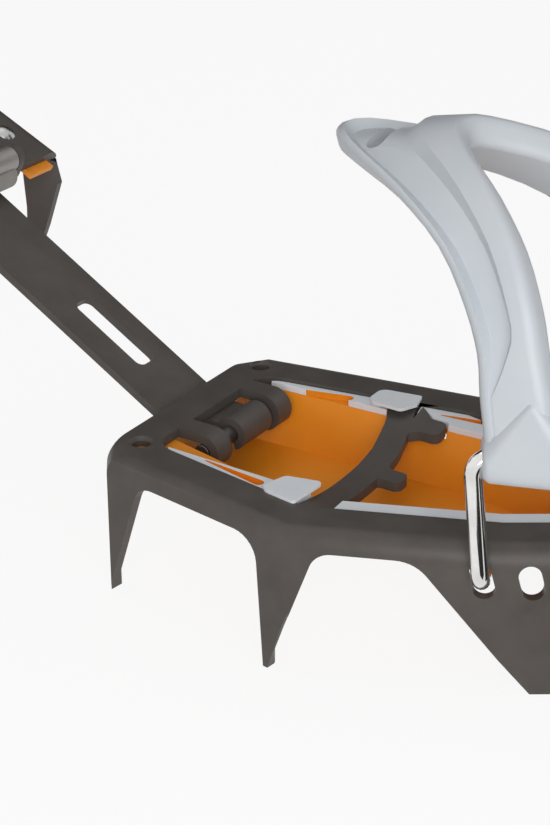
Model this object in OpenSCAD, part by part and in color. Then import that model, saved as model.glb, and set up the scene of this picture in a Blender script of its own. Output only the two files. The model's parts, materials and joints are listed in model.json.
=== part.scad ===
// Semi-automatic crampon for the right boot: a pressed front frame with its toe binding,
// a hooked linking bar, and a heel frame with its length lock and heel lever.
// Millimetres. +X points to the toe, +Y to the inner side of the foot, +Z up.
// The origin lies on the boot platform, midway between the two holes of the crosspiece.

/* [Sheet steel] */
// Thickness of the pressed sheet of both frames
sheet_t = 3; // [2.4:0.1:3.4]
// Outside radius where the sheet bends down into the walls
bend_r = 5.5; // [4.6:0.1:7]
// Height of the boot platform above the tips of the points
frame_h = 45; // [40:1:52]
// Height of the low walls between two points
wall_h = 5.2; // [4.8:0.1:8]

/* [Front frame plan] */
// Distance from the hole line back to the rear edge
rear_back = 7; // [6:0.5:9]
// Outer side: half width at the rear corner
outer_rear_y = 44; // [42:0.5:47]
// Outer side: distance forward to the middle point
outer_mid_x = 62; // [58:0.5:66]
// Outer side: half width at the middle point
outer_mid_y = 52.7; // [50:0.5:55]
// Outer side: distance forward to the third point's fold
outer_fold_x = 116.5; // [116:0.25:117.5]
// Outer side: half width at the third point's fold
outer_fold_y = 28.8; // [27:0.2:30]
// Outer side: half width at the toe
outer_toe_y = 6.5; // [4:0.5:9]
// Inner side: half width at the rear corner
inner_rear_y = 40; // [38:0.5:43]
// Inner side: distance forward to the middle point
inner_mid_x = 70; // [66:0.5:74]
// Inner side: half width at the middle point
inner_mid_y = 53.5; // [51:0.5:56]
// Inner side: distance forward to the third point's fold
inner_fold_x = 118; // [114:0.5:122]
// Inner side: half width at the third point's fold
inner_fold_y = 44; // [42:0.5:46]
// Inner side: half width at the toe
inner_toe_y = 32.5; // [30:0.5:35]
// Distance forward to the toe edge
toe_x = 150; // [148:0.5:156]
// Length of the cut corner that carries half of each rear point
corner_cut = 7; // [6:0.5:8]
// Width of the rails round the opening
rail_w = 15; // [13:0.5:17]
// Distance forward to the front end of the opening
opening_front_x = 128; // [122:0.5:132]
// Width of the crosspiece between the hole line and the opening
crosspiece_w = 4; // [3.6:0.2:5]

/* [Front points] */
// Width of a flat front point at its root
front_point_w = 14; // [11:0.5:15]
// Width of a flat front point at its tip
front_point_tip_w = 4.5; // [3:0.5:6]
// Distance between the two front points
front_point_gap = 23; // [21:0.5:24]
// Radius of the front points' downward bend
front_point_r = 36; // [28:1:44]
// Angle of the front points' downward bend, degrees
front_point_turn = 42; // [34:1:48]
// Straight length of a front point past its bend
front_point_l = 20; // [14:1:24]

/* [Crosspiece] */
// Distance between the two holes
hole_pitch = 62; // [58:0.5:64]
// Diameter of the two holes
hole_d = 5.4; // [4.5:0.1:6]
// Width of each hook
hook_w = 7; // [6:0.5:7.5]
// Distance between the middles of the two hooks
hook_pitch = 32; // [30.5:0.5:34]
// Angle that each hook curls through, degrees
hook_curl = 235; // [200:5:250]

/* [Cross member] */
// Distance forward to the middle of the cross member
brace_x = 55; // [52:0.5:58]
// Width of the cross member
brace_w = 8.5; // [7.5:0.5:10]
// Depth of the cross member's dish
brace_dip = 8; // [5:0.5:9]
// Length of its two forward fingers
finger_l = 11; // [8:0.5:13]
// Width of its two forward fingers
finger_w = 6.5; // [5.5:0.5:7.5]

/* [Snow plates] */
// Thickness of the moulded snow plates
plate_t = 1.8; // [1.4:0.1:2.2]
// Depth of the front plate's trough below the rails
trough_d = 19; // [18:0.5:22]
// Width of the grey rim that shows inside the opening
rim_w = 6.5; // [5.5:0.25:7]
// Thickness of the grey rim
rim_t = 2; // [1.6:0.1:2.4]
// Length of the clips that hook over the rails
clip_l = 13; // [11:0.5:14]
// Overlap of the clips on the rails
clip_lap = 3; // [2:0.5:4]

/* [Toe binding] */
// Diameter of the binding wires
wire_d = 5; // [4:0.1:5.4]
// Length of the wire slots
slot_l = 10.5; // [10:0.5:12]
// Play of a wire across its slot
slot_play = 1.2; // [1:0.1:1.6]
// Depth of the slots below the platform
slot_drop = 10; // [9.5:0.5:12]
// Distance forward to the rear legs of the wires
wire_rear_x = 111.5; // [110.5:0.25:113]
// Distance forward to the front legs of the wires
wire_front_x = 143; // [140:0.5:145]
// Height of the wires' upper run above the platform
wire_top = 28; // [24:0.5:32]
// Backward lean of the wires between the slots and the upper run
wire_lean = 3; // [0:0.5:5]
// Radius of the wires' bends
wire_bend_r = 5; // [4.5:0.25:5.5]
// Diameter of the toe piece's barrels round the wires
barrel_d = 14; // [12:0.5:16]
// Height of the toe piece's arch above the platform
cage_h = 93; // [85:1:100]
// Sideways place of the toe piece's middle
cage_y = 8; // [6:0.5:10]
// Thickness of the toe piece's arms
arm_t = 9; // [7:0.5:10]
// Length of the strap slot in the toe piece's tab
strap_slot_l = 18; // [14:0.5:19]
// Width of the strap slot
strap_slot_w = 5; // [4.4:0.2:7]

/* [Linking bar] */
// Sideways place of the bar
bar_y = 2.5; // [1:0.5:4]
// Width of the bar
bar_w = 25; // [20:0.5:26]
// Thickness of the bar
bar_t = 2.5; // [2:0.1:3]
// Length of the bar behind the crosspiece
bar_l = 158; // [157:0.5:161]
// Angle that the bar is lifted from the platform, degrees
bar_lift = 30; // [25:1:33]
// Diameter of the pin across the bar's front end
bar_pin_d = 5.2; // [4.6:0.1:5.6]
// Width of the bar's long slot
bar_slot_w = 8; // [6:0.5:10]
// Distance from the crosspiece to the bar's long slot
bar_slot_at = 19; // [17:0.5:21]
// Length of the bar's long slot
bar_slot_l = 29; // [26:0.5:34]
// Diameter of the bar's adjusting holes
adjust_hole_d = 7; // [6.6:0.1:7.4]
// Distance between the adjusting holes
adjust_pitch = 10; // [10:0.25:10.5]
// Number of adjusting holes
adjust_count = 5; // [5:1:5]

/* [Heel frame] */
// Distance from the crosspiece back to the heel frame's front edge
heel_at = 99; // [97:1:101]
// Length of the heel frame
heel_l = 72; // [68:1:78]
// Half width of the heel frame at its front
heel_front_y = 47; // [45:0.5:49]
// Half width of the heel frame at its back
heel_back_y = 38; // [36:0.5:40]
// Length of the heel frame's cut rear corners
heel_corner = 14; // [11:0.5:15]
// Width of the heel frame's rails
heel_rail_w = 14; // [12:0.5:16]
// Depth of the heel frame's front crosspiece
heel_cross_w = 26; // [24:0.5:28]
// Reach of the heel frame's front points ahead of its front edge
heel_reach = 11; // [10:0.5:12]

/* [Length lock] */
// Width of the lock tongue
tongue_w = 38; // [36:0.5:39]
// Thickness of the lock tongue
tongue_t = 2; // [1.6:0.1:2.4]
// Length of the lock tongue from its pin
tongue_l = 8.5; // [8:0.1:8.7]
// Angle that the open lock tongue is raised, degrees
tongue_lift = 24; // [23:0.5:28]
// Diameter of the lock tongue's pin
tongue_pin_d = 4; // [3:0.1:4.5]
// Distance from the tongue's pin to its locking stud
stud_at = 3.6; // [3.5:0.1:3.8]
// Diameter of the locking stud
stud_d = 3.4; // [3:0.1:3.5]

/* [Heel binding] */
// Distance of the heel wire's holes behind the heel frame's front edge
bail_at = 52; // [50:0.5:54]
// Depth of the heel wire's holes below the heel platform
bail_drop = 9; // [8.5:0.25:10]
// Reach of the heel wire behind its holes
bail_back = 30; // [26:0.5:34]
// Rise of the heel wire above its holes
bail_up = 50; // [48:0.5:56]
// Width of the heel wire's upper run
bail_top_w = 34; // [30:0.5:40]
// Width of the heel lever
lever_w = 30; // [28:0.5:34]
// Length of the heel lever above the wire
lever_up = 58; // [50:1:70]
// Length of the heel lever below the wire
lever_down = 24; // [20:1:28]
// Thickness of the heel lever
lever_t = 17; // [16:0.5:19]
// Diameter of the adjusting screw
screw_d = 4; // [3.4:0.1:4.4]
// Diameter of the adjusting wheel
wheel_d = 15; // [13:0.5:16]
// Thickness of the adjusting wheel
wheel_t = 5; // [4:0.5:7]

/* [Hidden] */
$fn = 48;
// Gap between pieces that move past each other
gap = 0.35;
// Excess of every cut past the faces that it opens, and of every joint into its neighbour
over = 1;
// Loose fit of a pin or rivet in its own body
fit = 0.05;

wire_r = wire_d / 2;
pin_r = bar_pin_d / 2;
bar_half_t = bar_t / 2;

function unit(v) = v / norm(v);
function edge_len(w) = norm(w[1] - w[0]);
function edge_dir(w) = unit(w[1] - w[0]);
function edge_out(w) = [edge_dir(w)[1], -edge_dir(w)[0]];
function heading(w) = atan2(w[1][1] - w[0][1], w[1][0] - w[0][0]);
// Point in plan, s along a wall and d outside it
function on_wall(w, s, d = 0) = w[0] + s * edge_dir(w) + d * edge_out(w);
function s_at_x(w, x) = (x - w[0][0]) / edge_dir(w)[0];
function at_z(p, z) = [p[0], p[1], z];
function inset_line(w, d) = [on_wall(w, 0, -d), on_wall(w, edge_len(w), -d)];
function meet(l, m) =
    let (r = l[1] - l[0], s = m[1] - m[0])
    l[0] + r * cross(m[0] - l[0], s) / cross(r, s);
function y_on(l, x) = l[0][1] + (x - l[0][0]) * (l[1][1] - l[0][1]) / (l[1][0] - l[0][0]);

// Plan of the front frame, counter-clockwise from the outer rear corner
rear_x = -rear_back;
cut_x = rear_x + corner_cut * 0.6;
cut_y = corner_cut * 0.8;
outer_plan = [
    [rear_x, -outer_rear_y + cut_y], [cut_x, -outer_rear_y], [outer_mid_x, -outer_mid_y],
    [outer_fold_x, -outer_fold_y], [toe_x, -outer_toe_y]
];
inner_plan = [
    [toe_x, inner_toe_y], [inner_fold_x, inner_fold_y], [inner_mid_x, inner_mid_y],
    [cut_x, inner_rear_y], [rear_x, inner_rear_y - cut_y]
];
// Plan of the heel frame from its front edge, counter-clockwise from the inner front corner
heel_back_x = -heel_l + heel_corner * 0.8;
heel_plan = [
    [heel_reach, heel_front_y], [heel_back_x, heel_back_y], [-heel_l, heel_back_y - heel_corner],
    [-heel_l, -heel_back_y + heel_corner], [heel_back_x, -heel_back_y], [heel_reach, -heel_front_y]
];
function walls_of(plan) = [for (i = [0 : len(plan) - 2]) [plan[i], plan[i + 1]]];
outer_walls = walls_of(outer_plan);
inner_walls = walls_of(inner_plan);
heel_walls = walls_of(heel_plan);

// The hooks curl round the bar's pin, flush with the platform
hook_in_r = pin_r + gap;
pivot_x = crosspiece_w + 8.2;
hook_y = bar_y - 1;
pivot_z = -sheet_t - hook_in_r;
bar_kink = [rear_x, bar_y, -sheet_t - gap - bar_half_t];
// Distance of the lock's pin behind the heel frame's front edge
lock_back = 1.5;
// Height of the heel platform above the middle of the bar
heel_top = bar_half_t + gap + sheet_t;

module on_bar() { translate(bar_kink) rotate([0, bar_lift, 0]) children(); }
module on_heel() { on_bar() translate([-heel_at, 0, 0]) children(); }

// Direction of the joint between two walls, one unit outside both of them
function mitre(v, w) = let (b = edge_out(v) + edge_out(w)) b / (b * edge_out(w));
function square_end(w) = [0, 1 / edge_out(w)[1]];
function joint_dirs(walls) = [
    square_end(walls[0]),
    for (i = [1 : len(walls) - 1]) mitre(walls[i - 1], walls[i]),
    square_end(walls[len(walls) - 1])
];

function middle_of(ring) = [for (v = ring) 1] * ring / len(ring);

// Solid through a row of closed rings; its ends are flat, or fans round their middles
module loft(rings, fan = false) {
    m = len(rings[0]);
    last = (len(rings) - 1) * m;
    hub = last + m;
    sides = [for (k = [0 : len(rings) - 2]) for (j = [0 : m - 1])
        let (i = (j + 1) % m)
        each [[k * m + j, (k + 1) * m + j, (k + 1) * m + i], [k * m + j, (k + 1) * m + i, k * m + i]]];
    flat = [[for (j = [0 : m - 1]) j], [for (j = [m - 1 : -1 : 0]) last + j]];
    fans = [for (j = [0 : m - 1]) each [[hub, j, (j + 1) % m], [hub + 1, last + (j + 1) % m, last + j]]];
    polyhedron(
        concat([for (r = rings) each r], fan ? [middle_of(rings[0]), middle_of(rings[len(rings) - 1])] : []),
        concat(sides, fan ? fans : flat)
    );
}

bend_steps = 8;
function bend_arc(r, from, to) = [for (k = [0 : bend_steps])
    let (a = from + (to - from) * k / bend_steps) [r * cos(a) - bend_r, r * sin(a) - bend_r]];
// Section of the bent sheet: a lap under the deck, the round shoulder and the wall
function sheet_section(depth) = concat(
    [[-bend_r - over, 0]], bend_arc(bend_r, 90, 0), [[0, -depth], [-sheet_t, -depth]],
    bend_arc(bend_r - sheet_t, 0, 90), [[-bend_r - over, -sheet_t]]
);

// Sheet bent down along a row of walls, whose two ends run past the plan to be cut off square
end_run = 3;
function run_on(plan) = let (n = len(plan) - 1)
    [for (i = [0 : n]) plan[i] + end_run * (i == 0 ? unit(plan[0] - plan[1])
        : i == n ? unit(plan[n] - plan[n - 1]) : [0, 0])];
module folded_sheet(plan, depth) {
    row = run_on(plan);
    dirs = joint_dirs(walls_of(plan));
    loft([for (i = [0 : len(row) - 1])
        [for (q = sheet_section(depth)) at_z(row[i] + q[0] * dirs[i], q[1])]]);
}

// Draws in a wall's own plane, from its first corner, and cuts through its sheet
module through_wall(w, inside = 8, outside = 4) {
    translate(at_z(w[0], 0))
        rotate([90, 0, heading(w)])
            translate([0, 0, -inside])
                linear_extrude(inside + outside)
                    children();
}

function cut_back(a, b, c, r) = r / tan(acos(unit(a - b) * unit(c - b)) / 2);

// Corner b of a polygon, rounded between its neighbours
round_steps = 7;
function round_corner(a, b, c, r) =
    let (u = unit(a - b), v = unit(c - b), k = cut_back(a, b, c, r))
    let (centre = b + unit(u + v) * norm([k, r]), first = b + k * u - centre)
    let (turn = sign(cross(b - a, c - b)) * (180 - acos(u * v)))
    [for (i = [0 : round_steps]) let (t = turn * i / round_steps)
        centre + [first[0] * cos(t) - first[1] * sin(t), first[0] * sin(t) + first[1] * cos(t)]];
function rounded(pts, radii) = let (n = len(pts))
    [for (i = [0 : n - 1])
        each radii[i] > 0 ? round_corner(pts[(i + n - 1) % n], pts[i], pts[(i + 1) % n], radii[i]) : [pts[i]]];

module round_polygon(pts, radii) { polygon(rounded(pts, radii)); }

module slot_2d(length, width) {
    w = width / 2;
    l = length / 2;
    r = w - 0.01;
    round_polygon([[-w, -l], [w, -l], [w, l], [-w, l]], [r, r, r, r]);
}

// Strip of even thickness along a row of points, drawn in one plane
function beside(pts, d) = let (n = len(pts) - 1)
    let (out = [for (i = [0 : n - 1]) edge_out([pts[i], pts[i + 1]])])
    [for (i = [0 : n]) pts[i] + d * (i == 0 ? out[0] : i == n ? out[n - 1]
        : (out[i - 1] + out[i]) / (1 + out[i - 1] * out[i]))];
module strip_2d(pts, t) {
    right = beside(pts, t / 2);
    left = beside(pts, -t / 2);
    polygon(concat(right, [for (i = [len(left) - 1 : -1 : 0]) left[i]]));
}

// Turns a drawing of X and Z into a piece of the given width, centred on y
module across(width, y = 0) {
    translate([0, y + width / 2, 0]) rotate([90, 0, 0]) linear_extrude(width) children();
}

// Straight runs of a wire joined by round bends: points with their directions
wire_steps = 7;
wire_sides = 16;
function bend_at(a, b, c, r) =
    let (u = unit(b - a), v = unit(c - b), turn = acos(u * v))
    let (side = cross(unit(cross(u, v)), u), start = b - u * r * tan(turn / 2))
    [for (k = [0 : wire_steps]) let (t = turn * k / wire_steps)
        [start + side * r * (1 - cos(t)) + u * r * sin(t), u * cos(t) + side * sin(t)]];
function wire_path(p, r) = let (n = len(p) - 1) concat(
    [[p[0], unit(p[1] - p[0])]],
    [for (i = [1 : n - 1]) each bend_at(p[i - 1], p[i], p[i + 1], r)],
    [[p[n], unit(p[n] - p[n - 1])]]
);
function carried(path, i, v) =
    let (t = path[i][1], m = unit(v - (v * t) * t))
    i == len(path) - 1 ? [m] : concat([m], carried(path, i + 1, m));

module wire(pts, bend) {
    path = wire_path(pts, bend);
    side = carried(path, 0, [0.3, 0.2, 1]);
    loft([for (i = [0 : len(path) - 1])
        let (b = cross(path[i][1], side[i]))
        [for (k = [0 : wire_sides - 1]) let (a = 360 * k / wire_sides)
            path[i][0] + wire_r * (cos(a) * side[i] + sin(a) * b)]]);
}

// Front frame

point_tip = 3;
low_z = -frame_h - 6;

// Openings between the points, on one side's walls taken from the rear
module side_windows(rear, mid, toe) {
    rear_l = edge_len(rear);
    mid_l = edge_len(mid);
    toe_l = edge_len(toe);
    edge_z = -wall_h - 0.6;
    fold_z = edge_z - third_back / third_slope;
    tip_s = (frame_h + fold_z) * third_slope;
    through_wall(rear)
        round_polygon([
            [-point_tip, low_z], [12.5, -wall_h], [rear_l - 9, -wall_h], [rear_l - 5.6, low_z]
        ], [0, 7, 8, 0]);
    through_wall(rear)
        polygon([[rear_l + 2 * over, -24.6], [rear_l + 2 * over, low_z], [rear_l - 6.3, low_z]]);
    through_wall(mid)
        round_polygon([
            [-2 * over, low_z], [-2 * over, -39.6], [1, -30.2], [9.5, edge_z], [mid_l - third_back, edge_z],
            [mid_l + 2 * over, fold_z - 2 * over / third_slope], [mid_l + 2 * over, low_z]
        ], [0, 0, 12, 6, 11, 0, 0]);
    through_wall(toe) {
        polygon([
            [-2 * over, fold_z + 2 * over / third_slope], [tip_s + 6 * third_slope, low_z], [-2 * over, low_z]
        ]);
        round_polygon([
            [tip_s + point_tip, low_z], [toe_l - 13, -15.5], [toe_l + 9, -13], [toe_l + 9, low_z]
        ], [0, 8, 0, 0]);
    }
}

third_back = 23.5;
third_slope = 0.83;

module corner_window(w) {
    through_wall(w)
        polygon([[-12, low_z], [-12, -9], [0.6, -9], [1.6, -frame_h], [1.6, low_z]]);
}

module wire_slot(w, x) {
    through_wall(w)
        translate([s_at_x(w, x), -slot_drop])
            rotate(15) slot_2d(slot_l, wire_d + slot_play);
}

function flipped(w) = [w[1], w[0]];
inner_rear_wall = flipped(inner_walls[2]);
inner_mid_wall = flipped(inner_walls[1]);
inner_toe_wall = flipped(inner_walls[0]);
inner_corner_wall = flipped(inner_walls[3]);
spare_step = 11.5;

// Outline inside the walls at a given distance, between two distances along the foot
function inside_plan(d, x0, x1) =
    let (o = [for (i = [1, 2, 3]) inset_line(outer_walls[i], d)])
    let (n = [for (i = [0, 1, 2]) inset_line(inner_walls[i], d)])
    [
        [x0, y_on(o[0], x0)], meet(o[0], o[1]), meet(o[1], o[2]), [x1, y_on(o[2], x1)],
        [x1, y_on(n[0], x1)], meet(n[0], n[1]), meet(n[1], n[2]), [x0, y_on(n[2], x0)]
    ];
// Flat of the deck, out to where the sheet starts to bend
function deck_plan(d, x0, x1) =
    let (o = [for (w = outer_walls) inset_line(w, d)], n = [for (w = inner_walls) inset_line(w, d)])
    [
        [x0, y_on(o[0], x0)], meet(o[0], o[1]), meet(o[1], o[2]), meet(o[2], o[3]),
        [x1, y_on(o[3], x1)], [x1, y_on(n[0], x1)], meet(n[0], n[1]), meet(n[1], n[2]),
        meet(n[2], n[3]), [x0, y_on(n[3], x0)]
    ];

module front_opening() {
    round_polygon(inside_plan(rail_w, crosspiece_w, opening_front_x), [7, 12, 4, 9, 9, 4, 12, 7]);
}

brace_near = y_on(inset_line(outer_walls[1], rail_w), brace_x) - over;
brace_far = y_on(inset_line(inner_walls[2], rail_w), brace_x - 6) + over;
brace_y = (brace_near + brace_far) / 2;
brace_half = (brace_far - brace_near) / 2;
brace_r = (brace_half * brace_half + brace_dip * brace_dip - sheet_t * sheet_t) / (2 * (brace_dip - sheet_t));
// Rear edge of the cross member: offset along X against the share of the half width
brace_edge = [[2.5, -1], [1.5, -0.5], [0, 0], [-1.5, 0.3], [-5, 0.65], [-8, 0.88], [-9, 1]];

// Outline of the cross member in plan, grown by a gap
function brace_plan(grow) = concat(
    [for (e = brace_edge) [brace_x + e[0] - grow, brace_y + e[1] * (brace_half + grow)]],
    [for (i = [len(brace_edge) - 1 : -1 : 0])
        [brace_x + brace_edge[i][0] + brace_w + grow, brace_y + brace_edge[i][1] * (brace_half + grow)]]
);

module brace_2d(grow) {
    long = finger_l + grow;
    half = finger_w / 2 + grow;
    round_r = 0.7 * half;
    flare = 4;
    polygon(brace_plan(grow));
    for (f = [[0, brace_w], [28, 0.65 * brace_w]])
        translate([brace_x + f[1] - 4, brace_y + f[0]])
            round_polygon([
                [0, -half - flare], [5, -half], [long, -half], [long, half], [5, half], [0, half + flare]
            ], [0, 3, round_r, round_r, 3, 0]);
}

module on_brace() { translate([brace_x, brace_y, brace_r - brace_dip]) rotate([0, 90, 0]) children(); }

// Dished member across the opening, with two fingers that point forward
module cross_member() {
    intersection() {
        on_brace()
            difference() {
                cylinder(h = 60, r = brace_r, center = true, $fn = 200);
                cylinder(h = 62, r = brace_r - sheet_t, center = true, $fn = 200);
            }
        translate([0, 0, -2 * brace_dip]) linear_extrude(2 * brace_dip) brace_2d(0);
    }
}

hook_steps = 18;
function hook_arc(r) = [for (i = [0 : hook_steps]) let (a = 90 - hook_curl * i / hook_steps)
    [pivot_x + r * cos(a), pivot_z + r * sin(a)]];

module hooks() {
    root = crosspiece_w - over;
    inner = hook_arc(hook_in_r / cos(hook_curl / hook_steps / 2));
    for (s = [-1, 1])
        across(hook_w, hook_y + s * hook_pitch / 2)
            polygon(concat(
                [[root, 0]], hook_arc(hook_in_r + sheet_t),
                [for (i = [hook_steps : -1 : 1]) inner[i]],
                [[pivot_x, -sheet_t], [root, -sheet_t]]
            ));
}

// Flat front point, bent down past the toe edge
module front_point(y) {
    reach = front_point_r + front_point_l + 10;
    intersection() {
        translate([toe_x, y, 0]) {
            translate([-2 * over, -front_point_w / 2, -sheet_t]) cube([2.3 * over, front_point_w, sheet_t]);
            translate([0, front_point_w / 2, -front_point_r])
                rotate([90, front_point_turn - 90, 0])
                    rotate_extrude(angle = front_point_turn + 0.5)
                        translate([front_point_r - sheet_t, 0]) square([sheet_t, front_point_w]);
            translate([0, 0, -front_point_r])
                rotate([0, front_point_turn, 0])
                    translate([-0.3, -front_point_w / 2, front_point_r - sheet_t])
                        cube([front_point_l, front_point_w, sheet_t]);
        }
        translate([toe_x, y, -frame_h])
            linear_extrude(2 * frame_h)
                polygon([
                    [-3 * over, -front_point_w / 2], [0, -front_point_w / 2], [reach, -front_point_tip_w / 2],
                    [reach, front_point_tip_w / 2], [0, front_point_w / 2], [-3 * over, front_point_w / 2]
                ]);
    }
}

toe_mid_y = (inner_toe_y - outer_toe_y) / 2;

module front_side(plan, rear, mid, toe, corner) {
    difference() {
        folded_sheet(plan, frame_h);
        side_windows(rear, mid, toe);
        corner_window(corner);
        wire_slot(mid, wire_rear_x);
        wire_slot(toe, wire_rear_x + spare_step);
        wire_slot(toe, wire_front_x);
    }
}

module front_deck() {
    translate([0, 0, -sheet_t])
        linear_extrude(sheet_t)
            difference() {
                polygon(deck_plan(bend_r + over / 2, rear_x - over, toe_x + over));
                front_opening();
            }
}

module front_frame() {
    cut_l = 40;
    color("dimgray") {
        difference() {
            union() {
                front_deck();
                front_side(outer_plan, outer_walls[1], outer_walls[2], outer_walls[3], outer_walls[0]);
                front_side(inner_plan, inner_rear_wall, inner_mid_wall, inner_toe_wall, inner_corner_wall);
            }
            for (x = [rear_x - cut_l, toe_x])
                translate([x, -outer_mid_y - cut_l, -frame_h - cut_l])
                    cube([cut_l, outer_mid_y + inner_mid_y + 2 * cut_l, frame_h + 2 * cut_l]);
            for (y = [-1, 1])
                translate([0, y * hole_pitch / 2, -2 * sheet_t]) cylinder(h = 3 * sheet_t, d = hole_d);
        }
        hooks();
        cross_member();
        for (s = [-1, 1]) front_point(toe_mid_y + s * front_point_gap / 2);
    }
}

// Snow plates

pan_in = rail_w + rim_w;
pan_slope = 5.5;
pan_front_x = opening_front_x - 2;
// Tail of the plate's floor behind the crosspiece, under the bar
tail_l = 9;
clip_t = 0.9;

// Outline of the trough, which tapers away from the rails in front of the hooks:
// half widths at the hole line and at the middle points
pan_near = [19.1, 31.5];
pan_far = [24.8, 28.8];
rim_near = [27.8, 27.8];
function pan_plan(d, front, near = pan_near) =
    let (o = concat([[[0, d - near[0]], [outer_mid_x, d - near[1]]]],
        [for (i = [2, 3]) inset_line(outer_walls[i], pan_in + d)]))
    let (n = concat([for (i = [0, 1]) inset_line(inner_walls[i], pan_in + d)],
        [[[0, pan_far[0] - d], [inner_mid_x, pan_far[1] - d]]]))
    [
        [-30, y_on(o[0], -30)], meet(o[0], o[1]), meet(o[1], o[2]), [front, y_on(o[2], front)],
        [front, y_on(n[0], front)], meet(n[0], n[1]), meet(n[1], n[2]), [-30, y_on(n[2], -30)]
    ];

module pan(drop, grow) {
    hull() {
        translate([0, 0, -sheet_t - drop])
            linear_extrude(0.01 + grow) polygon(pan_plan(drop * 0.3, pan_front_x - drop * 0.3));
        translate([0, 0, -trough_d - drop])
            linear_extrude(0.01)
                polygon(pan_plan(pan_slope, pan_front_x - 2 * pan_slope));
    }
}

// Moulded plate under the rails, dished under the opening and open at the rear for the bar
module front_snow_plate() {
    color("darkorange")
        difference() {
            union() {
                translate([0, 0, -sheet_t - plate_t])
                    linear_extrude(plate_t)
                        polygon(deck_plan(bend_r + gap, rear_x + over, opening_front_x + 9));
                intersection() {
                    pan(plate_t, 0);
                    translate([rear_x + over, -60, -2 * trough_d]) cube([200, 120, 2 * trough_d]);
                }
                translate([rear_x - tail_l, bar_y - bar_w / 2 + 4, -trough_d - plate_t])
                    cube([tail_l + 4, bar_w, plate_t]);
            }
            pan(0, 2 * over);
            intersection() {
                on_brace() cylinder(h = 60, r = brace_r + gap, center = true, $fn = 200);
                translate([0, 0, -2 * brace_dip]) linear_extrude(2 * brace_dip) brace_2d(gap);
            }
        }
}

rim_top = rim_t - sheet_t;
rim_rear_x = crosspiece_w + 2;

// Thin clip behind the cross member, from the rim's top onto one rail
module clip(side) {
    front = brace_x + (side < 0 ? 2 : -1);
    line = inset_line(side < 0 ? outer_walls[1] : inner_walls[2], rail_w);
    p = [front - clip_l, y_on(line, front - clip_l)];
    q = [front, y_on(line, front)];
    // Steps inside the opening's edge (positive) or onto the rail (negative)
    function step(v, d) = v - [0, side * d];
    near = [step(p, -0.4 * clip_lap), step(q, -0.4 * clip_lap), step(q + [1, 0], 13), step(p + [3, 0], 8.5)];
    far = [step(p, -clip_lap), step(q, -clip_lap), step(q + [1.5, 0], 3), step(q - [1, 0], 8.5), step(p, 6)];
    linear_extrude(clip_t)
        round_polygon(side < 0 ? near : far, [3, 1, 1.5, 2, 3]);
    translate([0, 0, rim_top - 0.4])
        linear_extrude(clip_t / 2 + 0.4 - rim_top)
            polygon([step(p + [1.2, 0], 1.2), step(p + [4, 0], 1.2), step(p + [4, 0], 4.5), step(p + [1.2, 0], 4.5)]);
}

// Drop-shaped slot along the middle of the rim
module rim_slot(wall, x0, x1) {
    line = inset_line(wall, rail_w + 0.52 * rim_w);
    r = 0.24 * rim_w;
    end = [for (a = [-90 : 30 : 90]) [x1 + r * cos(a), y_on(line, x1) + r * sin(a)]];
    polygon(concat([[x0, y_on(line, x0) + 0.3], [x0, y_on(line, x0) - 0.3]], end));
}

// Grey rim inside the opening, open where the cross member passes
module front_snow_rim() {
    color("lightgray") {
        translate([0, 0, -sheet_t])
            linear_extrude(rim_t)
                difference() {
                    round_polygon(inside_plan(rail_w + gap, rim_rear_x, opening_front_x - 4),
                        [6.5, 0, 0, 0, 0, 0, 0, 6.5]);
                    polygon(pan_plan(0, opening_front_x - 4 - rim_w, rim_near));
                    brace_2d(2 * gap);
                    rim_slot(inner_walls[2], rim_rear_x + 13, brace_x - 21);
                    rim_slot(inner_walls[2], brace_x + 8, brace_x + 24);
                    rim_slot(outer_walls[1], rim_rear_x + 15, brace_x - 14);
                }
        for (s = [-1, 1]) clip(s);
    }
}

// Toe binding

wire_side = wire_r + 0.6;
wire_in = 5;

// Corners of a toe wire: inner end, rear leg, upper run, front leg, inner end
function toe_wire_points(mid, toe) =
    let (sr = s_at_x(mid, wire_rear_x), sf = s_at_x(toe, wire_front_x))
    let (side = sign(mid[0][1]))
    let (nr = edge_out(mid) * sign(edge_out(mid)[1] * side), nf = edge_out(toe) * sign(edge_out(toe)[1] * side))
    let (pr = on_wall(mid, sr), pf = on_wall(toe, sf))
    let (lean = [-1.4 * wire_lean, 0.5 * side])
    [
        at_z(pr - nr * (sheet_t + wire_in), -slot_drop), at_z(pr + nr * wire_side, -slot_drop),
        at_z(pr + nr * wire_side + lean, wire_top), at_z(pf + nf * wire_side + lean, wire_top),
        at_z(pf + nf * wire_side, -slot_drop), at_z(pf - nf * (sheet_t + wire_in), -slot_drop)
    ];
outer_wire = toe_wire_points(outer_walls[2], outer_walls[3]);
inner_wire = toe_wire_points(inner_mid_wall, inner_toe_wall);

module toe_wire_outer() { color("silver") wire(outer_wire, wire_bend_r); }
module toe_wire_inner() { color("silver") wire(inner_wire, wire_bend_r); }

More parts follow.
